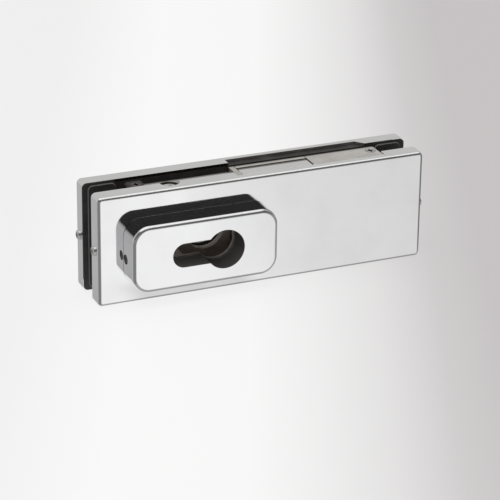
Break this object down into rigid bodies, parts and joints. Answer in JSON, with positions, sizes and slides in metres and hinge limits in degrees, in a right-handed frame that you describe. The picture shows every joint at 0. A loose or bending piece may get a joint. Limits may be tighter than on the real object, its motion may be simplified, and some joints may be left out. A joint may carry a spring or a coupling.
{
  "type": "glass door bottom lock",
  "caption": "Patch lock for a glass door: two polished covers clamp the glass round a case with a sliding deadbolt and a profile-cylinder passage.",
  "frame": {"origin": "middle of the edge that faces the glass, midway between the two covers, under the bounding box's centre", "axes": "+X along the patch towards the plain end, +Y from the front cover towards the rear cover, +Z out of the bolt edge"},
  "size_m": [0.1626, 0.0506, 0.052],
  "materials": {
    "polished_steel": "mirror polished stainless steel",
    "plain_steel": "plain cold-rolled",
    "screw_steel": "zinc plated",
    "black_steel": "black oxide",
    "cast_zinc": "tumbled zinc die casting",
    "bolt_steel": "ground and plated",
    "nylon": "natural nylon",
    "spring_steel": "spring wire",
    "black_casting": "satin black coated casting",
    "black_rubber": "moulded rubber"
  },
  "bodies": {
    "patch": {"front_cover": "polished_steel", "rear_cover": "polished_steel", "front_escutcheon": "polished_steel", "rear_escutcheon": "polished_steel", "front_escutcheon_retainer": "plain_steel", "rear_escutcheon_retainer": "plain_steel", "front_retainer_screws": "screw_steel", "rear_retainer_screws": "screw_steel", "front_escutcheon_grub_screws": "black_steel", "rear_escutcheon_grub_screws": "black_steel", "lock_case": "cast_zinc", "case_lid": "plain_steel", "lid_screws": "screw_steel", "bolt_stop_pin": "screw_steel", "brake_plunger": "nylon", "brake_spring": "spring_steel", "front_clamp_frame": "black_casting", "rear_clamp_plate": "black_casting", "front_glass_pads": "black_rubber", "rear_glass_pads": "black_rubber", "clamp_screws": "black_steel", "cylinder_fixing_screw": "screw_steel", "edge_screws": "screw_steel", "front_cover_end_screws": "screw_steel", "rear_cover_end_screws": "screw_steel"},
    "bolt": {"deadbolt": "bolt_steel"}
  },
  "joints": [
    {"name": "bolt_slide", "type": "slide", "parent": "patch", "child": "bolt", "axis": [0, 0, 1], "range_m": [0, 0.018]}
  ]
}
